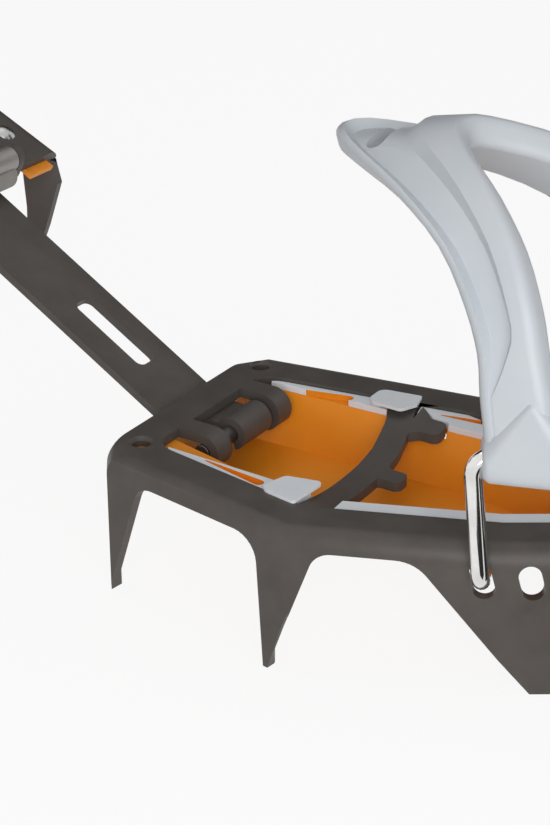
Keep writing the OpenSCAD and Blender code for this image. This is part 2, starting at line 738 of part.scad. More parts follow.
// Middle line of half the arch: X, distance from the middle, height as a share, width
arch = [
    [121.1, 39, 0.36, 20], [120.2, 39, 0.415, 19.6], [118.5, 38.5, 0.505, 19.5], [115.8, 37, 0.61, 18],
    [111.6, 35, 0.72, 19.5], [101.9, 29, 0.845, 23], [86.3, 20, 0.937, 30], [67.5, 8, 0.99, 38],
    [62, 0, 1, 41]
];
arch_row = concat(
    [for (a = arch) [a[0], cage_y - a[1], a[2] * cage_h, a[3]]],
    [for (i = [len(arch) - 2 : -1 : 0]) [arch[i][0], cage_y + arch[i][1], arch[i][2] * cage_h, arch[i][3]]]
);
function row_at(i) = arch_row[max(0, min(len(arch_row) - 1, i))];
function spline(i, t) =
    let (a = row_at(i - 1), b = row_at(i), c = row_at(i + 1), d = row_at(i + 2))
    0.5 * (2 * b + (c - a) * t + (2 * a - 5 * b + 4 * c - d) * t * t + (3 * b - a - 3 * c + d) * t * t * t);
arch_parts = 3;
arch_path = concat(
    [for (i = [0 : len(arch_row) - 2]) for (k = [0 : arch_parts - 1]) spline(i, k / arch_parts)],
    [arch_row[len(arch_row) - 1]]
);
arm_round = 3;
groove_d = 3;
// The groove grows out of the arm between two shares of the arch's height
groove_from = 0.48;
groove_full = 0.66;
function groove_at(z) = max(0.12, min(1, (z / cage_h - groove_from) / (groove_full - groove_from)));
arm_tilt = 12;
function quarter(x, y, from) = [for (a = [from : -30 : from - 90])
    [x + arm_round * cos(a), y + arm_round * sin(a)]];
// Section of an arm: a steep-sided groove behind its middle, on the outside
function arm_section(w, share) =
    let (x = w / 2 - arm_round, y = arm_t / 2 - arm_round)
    let (edge = 0.4 - x, wide = (0.18 * w - edge) * share, low = arm_t / 2 - groove_d * share)
    concat(
        quarter(-x, y, 180),
        [[edge, arm_t / 2], [edge + 0.1 * wide, low], [edge + 0.78 * wide, low], [edge + wide, arm_t / 2]],
        quarter(x, y, 90), quarter(x, -y, 0), quarter(-x, -y, -90)
    );
function xyz(v) = [v[0], v[1], v[2]];

module arch_body() {
    n = len(arch_path) - 1;
    wide = [cos(arm_tilt), 0, sin(arm_tilt)];
    loft([for (i = [0 : n])
        let (t = unit(xyz(arch_path[min(n, i + 1)]) - xyz(arch_path[max(0, i - 1)])))
        let (out = unit(cross(wide, t)))
        let (section = arm_section(arch_path[i][3], groove_at(arch_path[i][2])))
        [for (q = section) xyz(arch_path[i]) + q[0] * wide + q[1] * out]], true);
}

barrel_r = barrel_d / 2;
// Frame of a wire's upper run: X along it from its rear bend, Z up
module on_run(p) {
    translate(p[2]) rotate([0, 0, atan2(p[3][1] - p[2][1], p[3][0] - p[2][0])]) children();
}
function run_len(p) = norm(p[3] - p[2]);

// Foot of an arm: a round-ended barrel round a wire's upper run, drawn up to a ridge
module foot(p) {
    from = wire_bend_r - 2.6;
    to = run_len(p) - from;
    end_r = 3;
    ridge_r = 2;
    play = 0.3;
    on_run(p)
        difference() {
            hull() {
                translate([from, 0, 0])
                    rotate([0, 90, 0])
                        rotate_extrude($fn = 32)
                            round_polygon(
                                [[0, 0], [barrel_r, 0], [barrel_r, to - from], [0, to - from]], [0, end_r, end_r, 0]);
                translate([from + 13, 0, barrel_r + 6])
                    rotate([90, 0, 0]) cylinder(h = 1.3 * barrel_r, r = ridge_r, center = true, $fn = 16);
            }
            rotate([0, 90, 0]) cylinder(h = run_len(p), r = wire_r + fit);
            for (x = [-wire_bend_r, run_len(p) - wire_bend_r - play])
                translate([x, -wire_r - play, -2 * barrel_r])
                    cube([2 * wire_bend_r + play, wire_d + 2 * play, 2 * barrel_r + wire_r + play]);
        }
}

module toe_foot_outer() { color("gainsboro") foot(outer_wire); }
module toe_foot_inner() { color("gainsboro") foot(inner_wire); }

module toe_cage() {
    color("gainsboro")
        difference() {
            arch_body();
            translate([arch[8][0] - 5, cage_y, cage_h - 20])
                linear_extrude(40) slot_2d(strap_slot_l, strap_slot_w);
        }
}

// Linking bar

// The bar's narrower front end curls over its pin
curl_w = bar_w - 10.5;
curl_y = bar_y + 1.5;
curl_end = -70;
curl_in = pin_r + fit;
curl_out = curl_in + bar_t;
curl_steps = 20;
function curl_arc(r, from, to) = [for (k = [0 : curl_steps]) let (a = from + (to - from) * k / curl_steps)
    [pivot_x + r * cos(a), pivot_z + r * sin(a)]];
// The bar's long slot lies off its middle, with tight corners
bar_slot_y = 1.2;
bar_slot_r = 2.4;
stud_from_front = lock_back - stud_at;
adjust_first = heel_at + stud_from_front;

bar_end = [rear_x - bar_l * cos(bar_lift), bar_kink[2] + bar_l * sin(bar_lift)];
bar_run = [[-2, bar_kink[2]], [rear_x, bar_kink[2]], bar_end];

module link_bar() {
    top = bar_kink[2] + bar_half_t;
    color("dimgray")
        difference() {
            union() {
                across(curl_w, curl_y)
                    polygon(concat(
                        [[rear_x + over, top]], curl_arc(curl_out, 180 - asin((top - pivot_z) / curl_out), curl_end),
                        curl_arc(curl_in, curl_end, 180 - asin((top - bar_t - pivot_z) / curl_in)),
                        [[rear_x + over, top - bar_t]]
                    ));
                across(bar_w, bar_y) strip_2d(bar_run, bar_t);
            }
            on_bar()
                translate([0, 0, -bar_t]) linear_extrude(2 * bar_t) {
                    translate([-bar_slot_at - bar_slot_l, bar_slot_y - bar_slot_w / 2])
                        round_polygon([[0, 0], [bar_slot_l, 0], [bar_slot_l, bar_slot_w], [0, bar_slot_w]],
                            [bar_slot_r, bar_slot_r, bar_slot_r, bar_slot_r]);
                    for (i = [0 : adjust_count - 1])
                        translate([-adjust_first - i * adjust_pitch, 0]) circle(d = adjust_hole_d);
                    for (s = [-1, 1])
                        polygon([
                            [-bar_l - over, s * (bar_w / 2 - 8)], [-bar_l - over, s * bar_w],
                            [-bar_l + 7, s * bar_w], [-bar_l + 7, s * (bar_w / 2 + over)]
                        ]);
                }
        }
}

module bar_pin() {
    long = hook_pitch + hook_w + 0.6;
    color("silver")
        translate([pivot_x, hook_y, pivot_z])
            rotate([90, 0, 0]) cylinder(h = long, r = pin_r, center = true);
}

// Heel frame

ear_t = 2.5;
lock_pin_r = tongue_pin_d / 2;
lock_barrel_r = lock_pin_r + gap + 1.6;
lock_z = heel_top + lock_barrel_r + gap + 0.1;
ear_y = tongue_w / 2 + gap;
heel_low_z = -frame_h - over;
rear_wall_h = 12;
// Height of the heel frame's plain front edge
lip_h = 4.3;
rivet_r = 1.8;
guide_rivet_y = 18.5;
guide_rivet_x = 14;
plate_rivet_y = heel_front_y - bend_r - 9;
plate_rivet_x = 14;

function heel_inside(d, front) =
    let (l = [for (w = heel_walls) inset_line(w, d)])
    [
        [front, y_on(l[0], front)], meet(l[0], l[1]), meet(l[1], l[2]),
        meet(l[2], l[3]), meet(l[3], l[4]), [front, y_on(l[4], front)]
    ];

// Openings that leave a point at each corner of one side, from the rear
module heel_windows(side, corner) {
    l = edge_len(side);
    c = edge_len(corner);
    front = l - heel_reach;
    corner_z = -rear_wall_h - 0.5;
    through_wall(side)
        round_polygon([
            [3, heel_low_z], [18, -wall_h - 1], [front - 13, -wall_h - 1],
            [front - 1, -26], [front + 8.4, heel_low_z]
        ], [0, 8, 6, 6, 0]);
    through_wall(side)
        polygon([
            [front - 0.8, 0.7 - lip_h], [l + 5 * over, 0.7 - lip_h], [l + 5 * over, heel_low_z],
            [front + 10, heel_low_z], [front + 8.2, -28], [front + 5.3, -10.5]
        ]);
    through_wall(corner)
        polygon([[-2 * over, heel_low_z], [-2 * over, corner_z], [c - 9, corner_z], [c - 2.5, heel_low_z]]);
}

module heel_sides() {
    difference() {
        folded_sheet(heel_plan, frame_h);
        heel_windows(flipped(heel_walls[0]), flipped(heel_walls[1]));
        heel_windows(heel_walls[4], heel_walls[3]);
        through_wall(heel_walls[2])
            translate([-over, heel_low_z - over])
                square([edge_len(heel_walls[2]) + 2 * over, frame_h + 2 * over - rear_wall_h]);
        translate([-bail_at, 0, -bail_drop])
            rotate([90, 0, 0]) cylinder(h = 3 * heel_front_y, r = wire_r + gap, center = true);
    }
}

module heel_deck() {
    translate([0, 0, -sheet_t])
        linear_extrude(sheet_t)
            difference() {
                polygon(heel_inside(bend_r + over / 2, over));
                round_polygon([
                    [-heel_cross_w, 20], [-heel_l + heel_rail_w, 12],
                    [-heel_l + heel_rail_w, -12], [-heel_cross_w, -20]
                ], [5, 5, 5, 5]);
            }
}

// Two ears that hold the lock's pin
module lock_ears() {
    for (s = [-1, 1])
        across(ear_t, s * (ear_y + ear_t / 2))
            difference() {
                union() {
                    translate([-lock_back, lock_z - heel_top]) circle(4);
                    translate([-lock_back - 4, -over]) square([8, lock_z - heel_top + over]);
                }
                translate([-lock_back, lock_z - heel_top]) circle(lock_pin_r + fit);
            }
}

module heel_frame() {
    cut_l = 40;
    color("dimgray")
        on_heel()
            translate([0, 0, heel_top]) {
                difference() {
                    union() {
                        heel_sides();
                        heel_deck();
                    }
                    translate([heel_reach, -2 * heel_front_y, -frame_h - cut_l])
                        cube([cut_l, 4 * heel_front_y, frame_h + 2 * cut_l]);
                    translate([0, -2 * heel_front_y, -lip_h]) cube([cut_l, 4 * heel_front_y, cut_l]);
                    for (s = [-1, 1])
                        for (p = [[guide_rivet_x, guide_rivet_y], [plate_rivet_x, plate_rivet_y]])
                            translate([-p[0], s * p[1], -2 * sheet_t]) cylinder(h = 3 * sheet_t, r = rivet_r + fit);
                }
                lock_ears();
            }
}

heel_under = heel_top - sheet_t;
guide_t = 2;
guide_in = bar_w / 2 + gap;
guide_w = 16;
guide_low = -bar_half_t - gap;
channel_y = 23;
channel_z = guide_low - guide_t - 2 * gap;

// Channel section of the heel plate, which clears the bar and its guide, notched at the lock
module heel_snow_plate() {
    steep = 4;
    edge = 60;
    notch_x = 5;
    notch_y = channel_y + steep + 2;
    color("darkorange")
        on_heel()
            difference() {
                intersection() {
                    rotate([90, 0, 90])
                        linear_extrude(400, center = true)
                            polygon([
                                [-edge, heel_under], [-channel_y - steep, heel_under], [-channel_y, channel_z],
                                [channel_y, channel_z], [channel_y + steep, heel_under], [edge, heel_under],
                                [edge, heel_under - plate_t], [channel_y + steep + 0.8, heel_under - plate_t],
                                [channel_y + 0.8, channel_z - plate_t], [-channel_y - 0.8, channel_z - plate_t],
                                [-channel_y - steep - 0.8, heel_under - plate_t], [-edge, heel_under - plate_t]
                            ]);
                    translate([0, 0, -30]) linear_extrude(60) polygon(heel_inside(bend_r + gap, 3));
                }
                translate([-notch_x, -notch_y, -30]) cube([60, 2 * notch_y, 60]);
                for (s = [-1, 1])
                    translate([-plate_rivet_x, s * plate_rivet_y, -10]) cylinder(h = 20, r = rivet_r + fit);
            }
}

module bar_guide() {
    low = guide_low - guide_t;
    flange = guide_rivet_y + 3.6;
    color("dimgray")
        on_heel()
            difference() {
                translate([-guide_rivet_x, 0, 0])
                    rotate([90, 0, 90])
                        linear_extrude(guide_w, center = true)
                            polygon([
                                [-flange, heel_under], [-guide_in, heel_under], [-guide_in, guide_low],
                                [guide_in, guide_low], [guide_in, heel_under], [flange, heel_under],
                                [flange, heel_under - guide_t], [guide_in + guide_t, heel_under - guide_t],
                                [guide_in + guide_t, low], [-guide_in - guide_t, low],
                                [-guide_in - guide_t, heel_under - guide_t], [-flange, heel_under - guide_t]
                            ]);
                for (s = [-1, 1])
                    translate([-guide_rivet_x, s * guide_rivet_y, -10]) cylinder(h = 20, r = rivet_r + fit);
            }
}

// Rivet with a low round head above the heel platform and a flat one below
module rivet(x, y, under) {
    head_r = 1.9 * rivet_r;
    dome_r = (head_r * head_r + 1.4 * 1.4) / (2 * 1.4);
    translate([-x, y, 0]) {
        translate([0, 0, under - 0.8]) cylinder(h = 0.8, r = 1.55 * rivet_r);
        translate([0, 0, under - 0.4]) cylinder(h = heel_top - under + 0.6, r = rivet_r);
        intersection() {
            translate([0, 0, heel_top + 1.4 - dome_r]) sphere(dome_r);
            translate([0, 0, heel_top]) cylinder(h = 3, r = head_r + 1);
        }
    }
}

module guide_rivets() {
    color("silver")
        on_heel()
            for (s = [-1, 1]) rivet(guide_rivet_x, s * guide_rivet_y, heel_under - guide_t);
}

module plate_rivets() {
    color("silver")
        on_heel()
            for (s = [-1, 1]) rivet(plate_rivet_x, s * plate_rivet_y, heel_under - plate_t);
}

// Length lock

module on_tongue() {
    on_heel() translate([-lock_back, 0, lock_z]) rotate([0, -tongue_lift, 0]) children();
}

module lock_pin() {
    long = 2 * (ear_y + ear_t) + 1.2;
    color("silver")
        on_heel()
            translate([-lock_back, 0, lock_z])
                rotate([90, 0, 0]) cylinder(h = long, r = lock_pin_r, center = true);
}

// The blade slopes down from its barrel, steepest when locked
tongue_slope = 55;

module lock_tongue() {
    tip_r = 5;
    color("lightgray")
        on_tongue()
            difference() {
                union() {
                    rotate([90, 0, 0]) cylinder(h = tongue_w, r = lock_barrel_r, center = true);
                    rotate([0, tongue_slope, 0])
                        translate([0, 0, -tongue_t / 2])
                            linear_extrude(tongue_t)
                                round_polygon([
                                    [0, 0.3 - tongue_w / 2], [tongue_l, 0.3 - tongue_w / 2],
                                    [tongue_l, tongue_w / 2 - 0.3], [0, tongue_w / 2 - 0.3]
                                ], [0, tip_r, tip_r, 0]);
                }
                rotate([90, 0, 0]) cylinder(h = 2 * tongue_w, r = lock_pin_r + gap, center = true);
                translate([stud_at, 0, -2 * tongue_l]) cylinder(h = 2 * tongue_l - stud_top, r = stud_d / 2 + fit);
            }
}

// The stud runs down from the blade and stops a little way into a length hole
stud_top = stud_at * tan(tongue_slope) + 0.7;
stud_low = lock_z - bar_half_t + 0.85;

module lock_stud() {
    color("silver")
        on_tongue()
            translate([stud_at, 0, -stud_low]) {
                cylinder(h = 0.8, r1 = stud_d / 2 - 0.4, r2 = stud_d / 2);
                translate([0, 0, 0.8]) cylinder(h = stud_low - stud_top - 0.8, r = stud_d / 2);
            }
}

// Heel binding

bail_z = heel_top - bail_drop;
bail_wall_y = heel_front_y + (heel_back_y - heel_front_y) * (bail_at + heel_reach) / (heel_reach - heel_back_x);
bail_leg_y = bail_wall_y + wire_r + 1.2;
bail_end_y = bail_wall_y - sheet_t - 4;
bail_top = [-bail_at - bail_back, 0, bail_z + bail_up];

function bail_side(s) = [
    [-bail_at, s * bail_end_y, bail_z], [-bail_at, s * bail_leg_y, bail_z],
    [-bail_at - 7, s * (bail_leg_y + 1), bail_z + 20], [bail_top[0], s * bail_top_w / 2, bail_top[2]]
];

module heel_wire() {
    near = bail_side(-1);
    far = bail_side(1);
    color("silver")
        on_heel()
            wire(concat(near, [for (i = [len(far) - 1 : -1 : 0]) far[i]]), wire_bend_r);
}

module on_lever() { on_heel() translate(bail_top) children(); }

screw_r = screw_d / 2;
screw_x = -wire_r - screw_r - 1.6;
saddle_w = 0.6 * lever_w;
saddle_back = screw_x - screw_r - 1.5;
saddle_h = 10;
lever_back = saddle_back - gap - 2.6;
lever_travel = 3;
channel_top = saddle_h / 2 + lever_travel + 4;
channel_low = -saddle_h / 2 - lever_travel - 1;
wheel_z = channel_top + 2;

module wire_saddle() {
    front = wire_r + 1.6;
    color("dimgray")
        on_lever()
            difference() {
                translate([saddle_back, -saddle_w / 2, -saddle_h / 2])
                    cube([front - saddle_back, saddle_w, saddle_h]);
                rotate([90, 0, 0]) cylinder(h = 2 * saddle_w, r = wire_r + gap, center = true);
                translate([screw_x, 0, 0]) cylinder(h = 2 * saddle_h, r = screw_r + gap, center = true);
            }
}

// Lever with a hooked foot, a channel for the saddle and a window for the wheel
module heel_lever() {
    front = lever_back + lever_t;
    wheel_room = wheel_t + 2 * gap;
    color("gainsboro")
        on_lever()
            difference() {
                across(lever_w)
                    round_polygon([
                        [lever_back, channel_low - 6], [lever_back + 6, -lever_down], [front + 5, -lever_down],
                        [front + 4, -lever_down + 7], [front, -lever_down + 9], [front, channel_top + 12],
                        [lever_back + 7, lever_up], [lever_back - 1, lever_up]
                    ], [4, 5, 2, 2, 2, 8, 2.5, 2.5]);
                translate([saddle_back - gap, -saddle_w / 2 - gap, channel_low])
                    cube([lever_t + 20, saddle_w + 2 * gap, channel_top - channel_low]);
                translate([-wire_r - gap, -lever_w, channel_low])
                    cube([lever_t + 20, 2 * lever_w, channel_top - channel_low]);
                translate([screw_x, 0, wheel_z])
                    translate([-lever_t, -wheel_d / 2 - gap, -gap])
                        cube([2 * lever_t, wheel_d + 2 * gap, wheel_room]);
                translate([screw_x, 0, channel_low - 4]) cylinder(h = wheel_z - channel_low + 4, r = screw_r + gap);
            }
}

module adjust_wheel() {
    teeth = 18;
    color("silver")
        on_lever()
            translate([screw_x, 0, wheel_z])
                difference() {
                    cylinder(h = wheel_t, d = wheel_d);
                    for (i = [0 : teeth - 1])
                        rotate(360 / teeth * i)
                            translate([wheel_d / 2 + 0.3, 0, -over]) cylinder(h = wheel_t + 2 * over, r = 0.9, $fn = 16);
                    translate([0, 0, -over]) cylinder(h = wheel_t + 2 * over, r = screw_r + fit);
                }
}

module adjust_screw() {
    color("gray")
        on_lever()
            translate([screw_x, 0, channel_low - 3.5])
                cylinder(h = wheel_z + wheel_t - channel_low + 3.3, r = screw_r);
}

front_frame();
front_snow_plate();
front_snow_rim();
toe_cage();
toe_foot_outer();
toe_foot_inner();
toe_wire_outer();
toe_wire_inner();
link_bar();
bar_pin();
heel_frame();
heel_snow_plate();
bar_guide();
guide_rivets();
plate_rivets();
lock_pin();
lock_tongue();
lock_stud();
heel_wire();
wire_saddle();
heel_lever();
adjust_wheel();
adjust_screw();
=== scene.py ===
"""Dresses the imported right-foot crampon: coated steel frames, moulded plates, wires and toe piece.

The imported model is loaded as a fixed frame. Each of its nodes is shown by a skin, a merged copy of its mesh
with eased edges. Three kinds of skin add fine form that the solids leave out: the sunk edge of the bolt holes,
the orange walls of the rim's slots and the gable of the toe piece's feet. Lengths are in metres.
"""

import json
import logging
import math
from dataclasses import dataclass
from enum import Enum
from typing import Any, Optional, Sequence, Union

import bmesh
import bpy
from mathutils import Matrix, Quaternion, Vector

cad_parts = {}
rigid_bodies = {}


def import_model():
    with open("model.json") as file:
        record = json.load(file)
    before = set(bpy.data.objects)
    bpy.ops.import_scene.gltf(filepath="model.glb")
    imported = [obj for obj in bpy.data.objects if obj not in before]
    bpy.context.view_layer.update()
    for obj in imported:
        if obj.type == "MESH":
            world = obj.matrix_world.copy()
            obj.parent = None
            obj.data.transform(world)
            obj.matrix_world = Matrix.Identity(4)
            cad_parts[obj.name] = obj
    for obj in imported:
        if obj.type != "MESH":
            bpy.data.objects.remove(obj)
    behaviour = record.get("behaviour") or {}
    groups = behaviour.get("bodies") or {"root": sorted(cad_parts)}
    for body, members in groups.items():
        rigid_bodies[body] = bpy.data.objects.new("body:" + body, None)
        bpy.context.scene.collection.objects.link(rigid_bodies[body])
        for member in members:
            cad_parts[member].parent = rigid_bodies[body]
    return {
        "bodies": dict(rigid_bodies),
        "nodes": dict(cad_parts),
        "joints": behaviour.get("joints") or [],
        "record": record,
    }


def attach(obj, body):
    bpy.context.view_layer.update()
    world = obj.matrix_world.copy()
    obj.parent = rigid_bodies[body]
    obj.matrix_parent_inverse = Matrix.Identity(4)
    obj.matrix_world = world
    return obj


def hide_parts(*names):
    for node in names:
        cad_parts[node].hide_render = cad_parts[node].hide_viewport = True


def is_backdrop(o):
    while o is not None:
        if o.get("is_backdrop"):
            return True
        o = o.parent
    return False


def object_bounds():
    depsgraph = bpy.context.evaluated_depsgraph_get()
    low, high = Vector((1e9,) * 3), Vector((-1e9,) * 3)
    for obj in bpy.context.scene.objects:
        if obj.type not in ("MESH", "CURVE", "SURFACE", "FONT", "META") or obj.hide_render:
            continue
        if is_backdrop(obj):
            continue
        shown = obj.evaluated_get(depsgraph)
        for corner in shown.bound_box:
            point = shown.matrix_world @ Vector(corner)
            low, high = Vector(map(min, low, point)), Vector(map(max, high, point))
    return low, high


LOG = logging.getLogger("crampon")
MM = 0.001

MERGE_GAP = 2e-6      # vertices this close are one
FLAT_ANGLE = 0.6      # degrees, below which neighbouring faces are one
UPRIGHT_LEAN = 0.3    # a face's normal rises less than this where the face is upright
OCTAVE_WEIGHT = 0.55  # weight of a noise's finer octaves
WHITE = (1, 1, 1, 1)

Number = Union[int, float]
Colour = tuple[float, float, float]
Point = tuple[float, float, float]
Span = tuple[float, float]
Box = tuple[float, float, float, float]


def linear(value: Number) -> float:
    """Turns one value of the screen, 0 to 255, into a linear one."""
    share = value / 255
    return share / 12.92 if share <= 0.04045 else ((share + 0.055) / 1.055) ** 2.4


def srgb(red: Number, green: Number, blue: Number) -> Colour:
    """Turns a colour of the screen, 0 to 255, into a linear one."""
    return linear(red), linear(green), linear(blue)


class Wave(Enum):
    """How a finish's relief runs over the surface."""

    GRAIN = "grain"
    DRAWN = "drawn"


class Socket:
    """A shader value that ordinary operators can be used on."""

    def __init__(self, shader: "Shader", link: bpy.types.NodeSocket) -> None:
        """Wraps a node's output."""
        self.shader = shader
        self.link = link

    def _math(self, operation: str, first: Any, second: Any) -> "Socket":
        """Adds one Math node and returns its value."""
        return self.shader.node("ShaderNodeMath", {"operation": operation}, {0: first, 1: second})

    def __add__(self, other: Any) -> "Socket":
        """self + other."""
        return self._math("ADD", self, other)

    def __radd__(self, other: Any) -> "Socket":
        """other + self."""
        return self._math("ADD", other, self)

    def __sub__(self, other: Any) -> "Socket":
        """self - other."""
        return self._math("SUBTRACT", self, other)

    def __rsub__(self, other: Any) -> "Socket":
        """other - self."""
        return self._math("SUBTRACT", other, self)

    def __mul__(self, other: Any) -> "Socket":
        """self * other."""
        return self._math("MULTIPLY", self, other)

    def __rmul__(self, other: Any) -> "Socket":
        """other * self."""
        return self._math("MULTIPLY", other, self)

    def clamped(self) -> "Socket":
        """The value held between 0 and 1."""
        return self.shader.node("ShaderNodeClamp", {}, {"Value": self})

    def between(self, low: float, high: float) -> "Socket":
        """0 below low, 1 above high and a straight ramp between."""
        return ((self - low) * (1 / (high - low))).clamped()

    def swing(self, reach: float) -> "Socket":
        """A noise value turned into a swing about 0, reach wide in all."""
        return (self - 0.5) * reach


class Shader:
    """The nodes of one material or of the world."""

    MIX_LOW, MIX_HIGH, MIX_RESULT = 6, 7, 2

    def __init__(self, owner: Union[bpy.types.Material, bpy.types.World]) -> None:
        """Starts an empty node tree with an output.

        Args:
            owner: The material or world.
        """
        self.owner = owner
        owner.use_nodes = True
        self.tree = owner.node_tree
        self.tree.nodes.clear()
        kind = "World" if isinstance(owner, bpy.types.World) else "Material"
        self.output = self.tree.nodes.new(f"ShaderNodeOutput{kind}")

    @classmethod
    def named(cls, name: str) -> "Shader":
        """Starts a new material."""
        return cls(bpy.data.materials.new(name))

    def node(self, kind: str, settings: dict[str, Any], inputs: dict[Any, Any], out: Any = 0) -> Socket:
        """Adds a node of any kind.

        Args:
            kind: The node's type name.
            settings: Properties that are set first.
            inputs: Values or sockets for its inputs.
            out: The output that is returned.

        Returns:
            That output as a socket.
        """
        made = self.tree.nodes.new(kind)
        for key, value in settings.items():
            setattr(made, key, value)
        for key, value in inputs.items():
            if isinstance(value, Socket):
                self.tree.links.new(value.link, made.inputs[key])
            else:
                made.inputs[key].default_value = value
        return Socket(self, made.outputs[out])

    def place(self, stretch: Sequence[float] = (1, 1, 1)) -> Socket:
        """Object coordinates, stretched along each axis."""
        spot = self.node("ShaderNodeTexCoord", {}, {}, "Object")
        return self.node("ShaderNodeMapping", {}, {"Vector": spot, "Scale": stretch})

    def noise(self, spot: Socket, scale: float, octaves: float) -> Socket:
        """Noise value, 0 to 1, at a scale for metres."""
        return self.node("ShaderNodeTexNoise", {}, {"Vector": spot, "Scale": scale, "Detail": octaves,
                                                    "Roughness": OCTAVE_WEIGHT}, "Fac")

    def mix(self, share: Any, low: Any, high: Any) -> Socket:
        """Mixes two colours.

        Args:
            share: 0 gives low and 1 gives high.
            low: First colour.
            high: Second colour.

        Returns:
            The mixed colour.
        """
        inputs = {0: share}
        for key, colour in ((self.MIX_LOW, low), (self.MIX_HIGH, high)):
            inputs[key] = colour if isinstance(colour, Socket) else (*colour, 1)
        return self.node("ShaderNodeMix", {"data_type": "RGBA"}, inputs, self.MIX_RESULT)

    def bump(self, height: Socket, strength: float, depth: float) -> Socket:
        """A normal from a height, whose value of 1 is depth metres."""
        return self.node("ShaderNodeBump", {}, {"Height": height, "Strength": strength, "Distance": depth},
                         "Normal")

    def principled(self, inputs: dict[str, Any]) -> bpy.types.Material:
        """Ends the material with a Principled shader and returns it."""
        self.surface(self.node("ShaderNodeBsdfPrincipled", {}, inputs))
        return self.owner

    def surface(self, shown: Socket) -> None:
        """Links a shader to the output."""
        self.tree.links.new(shown.link, self.output.inputs["Surface"])

    def backdrop_rays(self) -> Socket:
        """1 for the rays that show the backdrop: the camera's and those that metal or glass sends on."""
        camera, gloss, through = (self.node("ShaderNodeLightPath", {}, {}, f"Is {kind} Ray")
                                  for kind in ("Camera", "Glossy", "Transmission"))
        return (camera + gloss + through).clamped()


@dataclass(frozen=True)
class CoatedSteel:
    """Satin coating over pressed steel, with faint mottling and rubbed specks."""

    name: str = "coated_steel"
    slot: str = "frame"
    dark: Colour = srgb(78, 73, 69)
    light: Colour = srgb(87, 82, 78)
    rubbed: Colour = srgb(118, 113, 108)
    roughness: float = 0.44
    specular: float = 0.25
    cloud_scale: float = 90
    cloud_span: Span = (0.3, 0.7)
    cloud_swing: float = 0.14
    fine_scale: float = 2600
    fine_swing: float = 0.08
    fine_share: float = 0.7
    speck_scale: float = 520
    speck_span: Span = (0.72, 0.80)
    speck_share: float = 0.35
    relief: float = 0.2
    depth: float = 0.03 * MM

    def material(self) -> bpy.types.Material:
        """Builds the material.

        Returns:
            The material.
        """
        shader = Shader.named(self.name)
        spot = shader.place()
        cloud = shader.noise(spot, self.cloud_scale, 4)
        fine = shader.noise(spot, self.fine_scale, 2)
        speck = shader.noise(spot, self.speck_scale, 3).between(*self.speck_span)
        tone = shader.mix(cloud.between(*self.cloud_span), self.dark, self.light)
        height = fine * self.fine_share + cloud * (1 - self.fine_share)
        return shader.principled({
            "Base Color": shader.mix(speck * self.speck_share, tone, self.rubbed),
            "Roughness": self.roughness + cloud.swing(self.cloud_swing) + fine.swing(self.fine_swing),
            "Normal": shader.bump(height, self.relief, self.depth),
            "Metallic": 0.0, "Specular IOR Level": self.specular})


@dataclass(frozen=True)
class Moulded:
    """Injection-moulded plastic with a fine eroded grain."""

    name: str
    colour: Colour
    shade: Colour
    slot: str
    roughness: float
    cloud_scale: float = 40
    cloud_span: Span = (0.25, 0.75)
    cloud_swing: float = 0.10
    grain_scale: float = 1500
    grain_swing: float = 0.06
    relief: float = 0.3
    depth: float = 0.012 * MM

    def material(self) -> bpy.types.Material:
        """Builds the material.

        Returns:
            The material.
        """
        shader = Shader.named(self.name)
        spot = shader.place()
        cloud = shader.noise(spot, self.cloud_scale, 3)
        grain = shader.noise(spot, self.grain_scale, 2)
        return shader.principled({
            "Base Color": shader.mix(cloud.between(*self.cloud_span), self.shade, self.colour),
            "Roughness": self.roughness + cloud.swing(self.cloud_swing) + grain.swing(self.grain_swing),
            "Normal": shader.bump(grain, self.relief, self.depth)})


@dataclass(frozen=True)
class BrightSteel:
    """Bare steel: drawn wire or plain turned pieces."""

    name: str
    colour: Colour
    slot: str
    roughness: float
    wave: Wave = Wave.GRAIN
    dull_share: float = 0.82
    drawn_stretch: float = 0.06
    line_scale: float = 2400
    line_swing: float = 0.08
    cloud_scale: float = 120
    cloud_span: Span = (0.3, 0.7)
    cloud_swing: float = 0.10
    relief: float = 0.10
    depth: float = 0.005 * MM

    def material(self) -> bpy.types.Material:
        """Builds the material.

        Returns:
            The material.
        """
        shader = Shader.named(self.name)
        along = self.drawn_stretch if self.wave is Wave.DRAWN else 1
        lines = shader.noise(shader.place((1, 1, along)), self.line_scale, 2)
        cloud = shader.noise(shader.place(), self.cloud_scale, 3)
        dull = tuple(self.dull_share * part for part in self.colour)
        return shader.principled({
            "Base Color": shader.mix(cloud.between(*self.cloud_span), dull, self.colour),
            "Roughness": self.roughness + cloud.swing(self.cloud_swing) + lines.swing(self.line_swing),
            "Normal": shader.bump(lines, self.relief, self.depth),
            "Metallic": 1.0})


Finish = Union[CoatedSteel, Moulded, BrightSteel]


